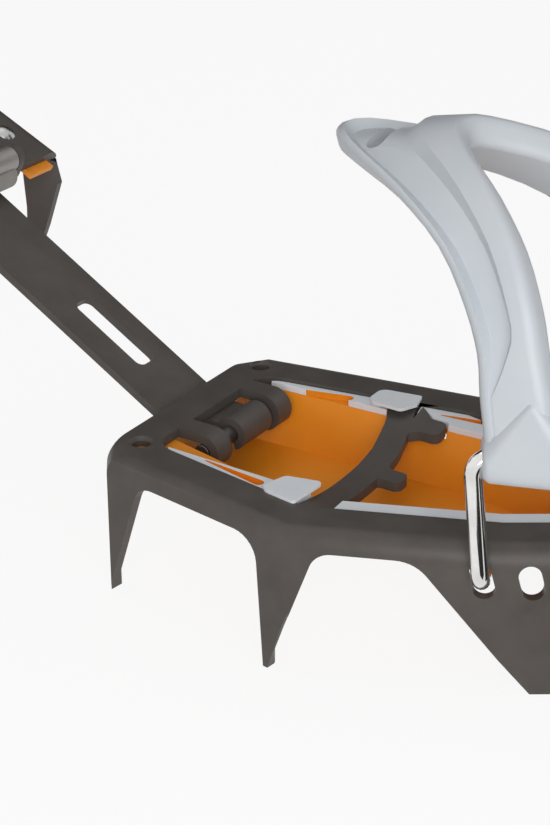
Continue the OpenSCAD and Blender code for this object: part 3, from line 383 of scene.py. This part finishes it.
class Palette:
    """Every finish of the crampon, each made once."""

    def __init__(self) -> None:
        """Names the finishes."""
        self.coat = CoatedSteel()
        self.orange = Moulded("orange_plate", srgb(245, 153, 32), srgb(237, 143, 26), "snow_plate", 0.42)
        self.rim = Moulded("grey_rim", srgb(236, 239, 243), srgb(228, 232, 237), "rim", 0.45)
        self.cage = Moulded("pale_toe_piece", srgb(205, 210, 215), srgb(197, 203, 209), "toe_piece", 0.44)
        self.lever = Moulded("pale_lever", srgb(214, 219, 224), srgb(203, 209, 215), "lever", 0.40)
        self.wire = BrightSteel("bright_wire", srgb(240, 239, 237), "wire", 0.10, Wave.DRAWN)
        self.steel = BrightSteel("plain_steel", srgb(186, 186, 184), "steel", 0.26)
        self.dark_steel = BrightSteel("dark_pin_steel", srgb(104, 102, 100), "steel", 0.50)
        self.tongue = BrightSteel("tongue_steel", srgb(164, 160, 156), "tongue", 0.46)
        self._made: dict[str, bpy.types.Material] = {}

    def material(self, finish: Finish) -> bpy.types.Material:
        """Gives a finish's material, made on its first use.

        Args:
            finish: The finish.

        Returns:
            The material.
        """
        if finish.name not in self._made:
            self._made[finish.name] = finish.material()
        return self._made[finish.name]


class Frame:
    """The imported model: its nodes, and the body that each one is in."""

    def __init__(self) -> None:
        """Loads the model and keeps its box."""
        self.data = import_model()
        self.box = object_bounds()
        bodies = self.data["record"]["behaviour"]["bodies"]
        self.body_of = {node: body for body, nodes in bodies.items() for node in nodes}

    def mesh_of(self, node: str) -> bpy.types.Mesh:
        """A copy of a node's mesh."""
        return self.data["nodes"][node].data.copy()


def shade_smooth(bm: bmesh.types.BMesh, limit: float) -> None:
    """Shades a mesh smooth up to an angle between its faces.

    Args:
        bm: The mesh.
        limit: The angle in radians from which an edge stays sharp.
    """
    for edge in bm.edges:
        edge.smooth = len(edge.link_faces) == 2 and edge.calc_face_angle(0) < limit
    for face in bm.faces:
        face.smooth = True


@dataclass
class Skin:
    """A node's shown form: its own shape, merged, shaded smooth and with eased edges."""

    node: str
    finish: Finish
    ease: float = 0.0
    segments: int = 2
    sharp: float = 32.0
    inlay: Optional[Finish] = None

    def shape(self, bm: bmesh.types.BMesh) -> None:
        """Changes the merged mesh before it is shaded; a plain skin leaves it as it is."""

    def build(self, frame: Frame, palette: Palette) -> bpy.types.Object:
        """Makes the skin in place of its node.

        Args:
            frame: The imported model.
            palette: The finishes.

        Returns:
            The new object.
        """
        limit = math.radians(self.sharp)
        mesh = self._mesh(frame.mesh_of(self.node), limit)
        piece = bpy.data.objects.new(f"{self.node}_skin", mesh)
        bpy.context.scene.collection.objects.link(piece)
        for finish in (self.finish, self.inlay):
            if finish is not None:
                mesh.materials.append(palette.material(finish))
        if self.ease > 0:
            self._ease_edges(piece, limit)
        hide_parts(self.node)
        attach(piece, frame.body_of[self.node])
        LOG.info("skin %s: %d faces", self.node, len(mesh.polygons))
        return piece

    def _mesh(self, mesh: bpy.types.Mesh, limit: float) -> bpy.types.Mesh:
        """Merges, shapes and shades a copy of the node's mesh.

        Args:
            mesh: The copy, of loose triangles.
            limit: The angle in radians from which an edge stays sharp.

        Returns:
            The same mesh, without materials.
        """
        bm = bmesh.new()
        bm.from_mesh(mesh)
        bmesh.ops.remove_doubles(bm, verts=bm.verts, dist=MERGE_GAP)
        bmesh.ops.dissolve_limit(bm, angle_limit=math.radians(FLAT_ANGLE), verts=bm.verts, edges=bm.edges,
                                 delimit={"NORMAL"})
        for face in bm.faces:
            face.material_index = 0
        self.shape(bm)
        shade_smooth(bm, limit)
        mesh.materials.clear()
        bm.to_mesh(mesh)
        bm.free()
        mesh.name = f"{self.node}_skin"
        return mesh

    def _ease_edges(self, piece: bpy.types.Object, limit: float) -> None:
        """Rounds the sharp edges.

        Args:
            piece: The skin's object.
            limit: The angle in radians from which an edge is sharp.
        """
        bevel = piece.modifiers.new("eased_edges", "BEVEL")
        bevel.width = self.ease
        bevel.segments = self.segments
        bevel.limit_method = "ANGLE"
        bevel.angle_limit = limit
        bevel.harden_normals = True
        bevel.use_clamp_overlap = True


@dataclass
class SunkHoleSkin(Skin):
    """A skin whose round holes get a sunk upper edge."""

    holes: tuple[Span, ...] = ()
    radius: float = 2.7 * MM
    sunk_radius: float = 3.6 * MM
    depth: float = 1.1 * MM
    slack: float = 0.05 * MM

    def hole_of(self, vert: bmesh.types.BMVert) -> Optional[Span]:
        """Finds the hole on whose wall a vertex lies.

        Args:
            vert: The vertex.

        Returns:
            The hole's middle, or None for any other vertex.
        """
        for x, y in self.holes:
            if abs(math.hypot(vert.co.x - x, vert.co.y - y) - self.radius) < self.slack:
                return x, y
        return None

    def shape(self, bm: bmesh.types.BMesh) -> None:
        """Cuts each hole's wall across and spreads its upper edge to a cone.

        Args:
            bm: The merged mesh.
        """
        walls = [face for face in bm.faces if abs(face.normal.z) < UPRIGHT_LEAN
                 and all(self.hole_of(vert) for vert in face.verts)]
        parts = {item for face in walls for item in (face, *face.edges, *face.verts)}
        bmesh.ops.bisect_plane(bm, geom=list(parts), dist=1e-7, plane_co=(0, 0, -self.depth),
                               plane_no=(0, 0, 1))
        spread = self.sunk_radius / self.radius
        for vert in bm.verts:
            middle = self.hole_of(vert) if vert.co.z > -self.depth / 2 else None
            if middle:
                vert.co.x = middle[0] + (vert.co.x - middle[0]) * spread
                vert.co.y = middle[1] + (vert.co.y - middle[1]) * spread
        bm.normal_update()


@dataclass
class SlottedSkin(Skin):
    """A skin whose slots have walls of a second finish, that of the piece below."""

    slots: tuple[Box, ...] = ()

    def shape(self, bm: bmesh.types.BMesh) -> None:
        """Gives the upright faces inside each slot's box the second finish.

        Args:
            bm: The merged mesh.
        """
        for face in bm.faces:
            spot = face.calc_center_median()
            in_slot = any(x0 < spot.x < x1 and y0 < spot.y < y1 for x0, y0, x1, y1 in self.slots)
            if in_slot and abs(face.normal.z) < UPRIGHT_LEAN:
                face.material_index = 1


@dataclass
class GabledFootSkin(Skin):
    """A foot whose barrel is drawn out to a cheek with a gable on the outside of its arm."""

    knobs: tuple[tuple[Point, float], ...] = ()
    knob_sides: int = 32
    knob_rings: int = 20

    def shape(self, bm: bmesh.types.BMesh) -> None:
        """Wraps the foot and the cheek's round corners in one skin.

        Args:
            bm: The merged mesh.
        """
        for spot, radius in self.knobs:
            bmesh.ops.create_uvsphere(bm, u_segments=self.knob_sides, v_segments=self.knob_rings,
                                      radius=radius, matrix=Matrix.Translation(spot))
        bmesh.ops.delete(bm, geom=bm.edges[:] + bm.faces[:], context="EDGES_FACES")
        hull = bmesh.ops.convex_hull(bm, input=bm.verts[:], use_existing_faces=False)
        spare = {item for key in ("geom_interior", "geom_unused") for item in hull[key]
                 if isinstance(item, bmesh.types.BMVert)}
        bmesh.ops.delete(bm, geom=list(spare), context="VERTS")
        bmesh.ops.recalc_face_normals(bm, faces=bm.faces[:])


@dataclass
class SubAssembly:
    """A group of skins that belong together."""

    frame: Frame
    palette: Palette

    def skins(self) -> list[Skin]:
        """The group's skins; each group names its own."""
        return []

    def build(self) -> list[bpy.types.Object]:
        """Builds every skin of the group."""
        return [skin.build(self.frame, self.palette) for skin in self.skins()]


@dataclass
class FrontFrame(SubAssembly):
    """The pressed front frame with its snow plate and rim."""

    hole_y: float = 31 * MM
    frame_ease: float = 0.35 * MM
    plate_ease: float = 0.5 * MM
    rim_ease: float = 0.3 * MM
    rim_slots: tuple[Box, ...] = (
        (20.5 * MM, -33.2 * MM, 42.8 * MM, -28.1 * MM),
        (20.2 * MM, 26.9 * MM, 35.7 * MM, 29.8 * MM),
        (62.9 * MM, 33.3 * MM, 80.6 * MM, 36.0 * MM))

    def skins(self) -> list[Skin]:
        """Frame, plate and rim.

        Returns:
            Their skins.
        """
        kit = self.palette
        holes = ((0, -self.hole_y), (0, self.hole_y))
        return [SunkHoleSkin("front_frame", kit.coat, self.frame_ease, holes=holes),
                Skin("front_snow_plate", kit.orange, self.plate_ease),
                SlottedSkin("front_snow_rim", kit.rim, self.rim_ease, inlay=kit.orange, slots=self.rim_slots)]


@dataclass
class ToeBinding(SubAssembly):
    """The arched toe piece, its feet and its wires."""

    middle_y: float = 8.0 * MM
    peak: Point = (124.7 * MM, 42.0 * MM, 45.6 * MM)
    peak_r: float = 2.0 * MM
    shoulder: Point = (135.0 * MM, 38.6 * MM, 30.6 * MM)
    shoulder_r: float = 6.0 * MM
    cage_sharp: float = 38
    foot_sharp: float = 50
    wire_sharp: float = 60

    def skins(self) -> list[Skin]:
        """Arch, feet and wires.

        Returns:
            Their skins.
        """
        kit = self.palette
        return [Skin("toe_cage", kit.cage, sharp=self.cage_sharp),
                self._foot("toe_foot_outer", -1),
                self._foot("toe_foot_inner", 1),
                Skin("toe_wire_outer", kit.wire, sharp=self.wire_sharp),
                Skin("toe_wire_inner", kit.wire, sharp=self.wire_sharp)]

    def _foot(self, node: str, side: int) -> Skin:
        """Makes a foot's skin.

        Args:
            node: The foot's node.
            side: -1 on the outer and 1 on the inner arm.

        Returns:
            The skin.
        """
        corners = ((self.peak, self.peak_r), (self.shoulder, self.shoulder_r))
        knobs = tuple(((x, self.middle_y + side * out, z), radius) for (x, out, z), radius in corners)
        return GabledFootSkin(node, self.palette.cage, sharp=self.foot_sharp, knobs=knobs)


@dataclass
class LinkingBar(SubAssembly):
    """The hooked bar and its pin."""

    bar_ease: float = 0.3 * MM
    pin_ease: float = 0.3 * MM

    def skins(self) -> list[Skin]:
        """Bar and pin."""
        return [Skin("link_bar", self.palette.coat, self.bar_ease),
                Skin("bar_pin", self.palette.dark_steel, self.pin_ease)]


@dataclass
class HeelUnit(SubAssembly):
    """The heel frame, its plate and the length lock."""

    frame_ease: float = 0.35 * MM
    plate_ease: float = 0.4 * MM
    guide_ease: float = 0.3 * MM
    rivet_ease: float = 0.15 * MM
    pin_ease: float = 0.25 * MM
    tongue_ease: float = 0.3 * MM
    stud_ease: float = 0.2 * MM

    def skins(self) -> list[Skin]:
        """Frame, plate, guide, rivets and lock.

        Returns:
            Their skins.
        """
        kit = self.palette
        return [Skin("heel_frame", kit.coat, self.frame_ease),
                Skin("heel_snow_plate", kit.orange, self.plate_ease),
                Skin("bar_guide", kit.coat, self.guide_ease),
                Skin("guide_rivets", kit.steel, self.rivet_ease),
                Skin("plate_rivets", kit.steel, self.rivet_ease),
                Skin("lock_pin", kit.steel, self.pin_ease),
                Skin("lock_tongue", kit.tongue, self.tongue_ease),
                Skin("lock_stud", kit.steel, self.stud_ease)]


@dataclass
class HeelBinding(SubAssembly):
    """The heel wire with its lever, saddle and adjusting wheel."""

    wire_sharp: float = 60
    saddle_ease: float = 0.4 * MM
    lever_ease: float = 0.9 * MM
    lever_segments: int = 3
    wheel_ease: float = 0.15 * MM

    def skins(self) -> list[Skin]:
        """Wire, saddle, lever, wheel and screw.

        Returns:
            Their skins.
        """
        kit = self.palette
        return [Skin("heel_wire", kit.wire, sharp=self.wire_sharp),
                Skin("wire_saddle", kit.steel, self.saddle_ease),
                Skin("heel_lever", kit.lever, self.lever_ease, self.lever_segments),
                Skin("adjust_wheel", kit.steel, self.wheel_ease),
                Skin("adjust_screw", kit.steel, self.wheel_ease)]


@dataclass(frozen=True)
class Flag:
    """A dark board that only the object's gloss shows: where it stands, what it faces and its sides."""

    name: str
    spot: Point
    aim: Point
    width: float
    height: float


@dataclass(frozen=True)
class Lamp:
    """A square area light: where it stands, what it faces, its side and its power in watts."""

    name: str
    spot: Point
    aim: Point
    side: float
    power: float


def facing(spot: Point, aim: Point) -> Quaternion:
    """The turn that points an object's -Z from spot to aim."""
    return (Vector(spot) - Vector(aim)).to_track_quat("Z", "Y")


@dataclass
class Studio:
    """Floor, lights and the camera of the photograph."""

    eye: Point = (314.1 * MM, -437.8 * MM, 264.9 * MM)
    back: Point = (0.49211, -0.74748, 0.44620)
    focal_px: float = 1997.07
    frame_px: tuple[int, int] = (550, 825)
    sensor_mm: float = 36.0
    clip: Span = (0.01, 50)
    ambient: float = 0.33
    floor_z: float = -45.2 * MM
    floor_half: float = 3.0
    floor_grey: float = 0.9
    floor_white: float = 0.90
    flag_shade: float = 0.03
    flags: tuple[Flag, ...] = (
        Flag("back_flag", (-0.75, 1.10, 0.60), (0.05, 0, 0), 2.2, 1.3),
        Flag("side_flag", (1.05, -0.10, 0.25), (0.05, -0.05, 0.05), 0.55, 1.2),
        Flag("far_flag", (0.80, 0.62, 0.25), (0.05, 0, 0.05), 0.45, 1.2),
        Flag("front_mat", (0.225, -0.086, -0.0451), (0.225, -0.086, -1), 0.15, 0.079),
        Flag("toe_mat", (0.225, 0.0275, -0.0451), (0.225, 0.0275, -1), 0.15, 0.105))
    lamps: tuple[Lamp, ...] = (
        Lamp("key", (0.62, -0.80, 0.36), (0.05, 0, 0), 0.8, 7.2),
        Lamp("top", (-0.35, 0.15, 1.1), (0.05, 0, 0), 0.9, 1.0))

    def build(self) -> None:
        """Makes the whole stage."""
        self._camera()
        self._world()
        self._floor()
        self._flags()
        self._lights()
        bpy.context.scene.view_settings.view_transform = "Standard"

    def _camera(self) -> None:
        """Stands the camera where the photograph was taken."""
        data = bpy.data.cameras.new("photo_camera")
        data.sensor_width = self.sensor_mm
        data.sensor_fit = "AUTO"
        data.lens = self.focal_px * self.sensor_mm / max(self.frame_px)
        data.clip_start, data.clip_end = self.clip
        camera = bpy.data.objects.new("photo_camera", data)
        camera.rotation_euler = Vector(self.back).to_track_quat("Z", "Y").to_euler()
        camera.location = self.eye
        bpy.context.scene.collection.objects.link(camera)
        bpy.context.scene.camera = camera

    def _world(self) -> None:
        """White to the camera and to reflections, soft grey as light."""
        world = bpy.data.worlds.new("studio_world")
        shader = Shader(world)
        soft, white = (shader.node("ShaderNodeBackground", {}, {"Color": WHITE, "Strength": strength})
                       for strength in (self.ambient, 1.0))
        shader.surface(shader.node("ShaderNodeMixShader", {}, {0: shader.backdrop_rays(), 1: soft, 2: white}))
        bpy.context.scene.world = world

    def _floor(self) -> None:
        """A pale floor that stays white to the camera but keeps a soft shadow."""
        shader = Shader.named("pale_floor")
        matt = shader.node("ShaderNodeBsdfDiffuse", {}, {"Color": (*[self.floor_grey] * 3, 1)})
        glow = shader.node("ShaderNodeEmission", {}, {"Color": WHITE, "Strength": 1.0})
        share = shader.backdrop_rays() * self.floor_white
        shader.surface(shader.node("ShaderNodeMixShader", {}, {0: share, 1: matt, 2: glow}))
        floor = self._board("floor", self.floor_half, Matrix.Translation((0, 0, self.floor_z)), shader.owner)
        floor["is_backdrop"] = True

    def _flags(self) -> None:
        """Dark boards beside and behind the object, which only its gloss shows."""
        shader = Shader.named("flag_cloth")
        shader.surface(shader.node("ShaderNodeEmission", {}, {"Color": WHITE, "Strength": self.flag_shade}))
        for row in self.flags:
            turn = facing(row.spot, row.aim).to_matrix().to_4x4()
            sides = Matrix.Diagonal((row.width, row.height, 1, 1))
            flag = self._board(row.name, 0.5, Matrix.Translation(row.spot) @ turn @ sides, shader.owner)
            flag.visible_camera = flag.visible_diffuse = False
            flag.visible_shadow = flag.visible_transmission = False
            flag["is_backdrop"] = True

    @staticmethod
    def _board(name: str, half: float, place: Matrix, cloth: bpy.types.Material) -> bpy.types.Object:
        """Makes a flat square board.

        Args:
            name: Its name.
            half: Half its side before it is placed.
            place: The turn, stretch and move that place it.
            cloth: Its material.

        Returns:
            The board.
        """
        mesh = bpy.data.meshes.new(name)
        bm = bmesh.new()
        bmesh.ops.create_grid(bm, x_segments=1, y_segments=1, size=half, matrix=place)
        bm.to_mesh(mesh)
        bm.free()
        mesh.materials.append(cloth)
        board = bpy.data.objects.new(name, mesh)
        bpy.context.scene.collection.objects.link(board)
        return board

    def _lights(self) -> None:
        """A large key from the camera's side and a weaker one from above."""
        for row in self.lamps:
            data = bpy.data.lights.new(row.name, "AREA")
            data.size = row.side
            data.energy = row.power
            lamp = bpy.data.objects.new(row.name, data)
            lamp.location = row.spot
            lamp.rotation_euler = facing(row.spot, row.aim).to_euler()
            bpy.context.scene.collection.objects.link(lamp)


def main() -> None:
    """Builds the stage and every sub-assembly."""
    logging.basicConfig(level=logging.INFO, format="%(name)s: %(message)s")
    frame = Frame()
    palette = Palette()
    Studio().build()
    for group in (FrontFrame, ToeBinding, LinkingBar, HeelUnit, HeelBinding):
        pieces = group(frame, palette).build()
        LOG.info("%s: %d pieces", group.__name__, len(pieces))


if __name__ == "__main__":
    main()
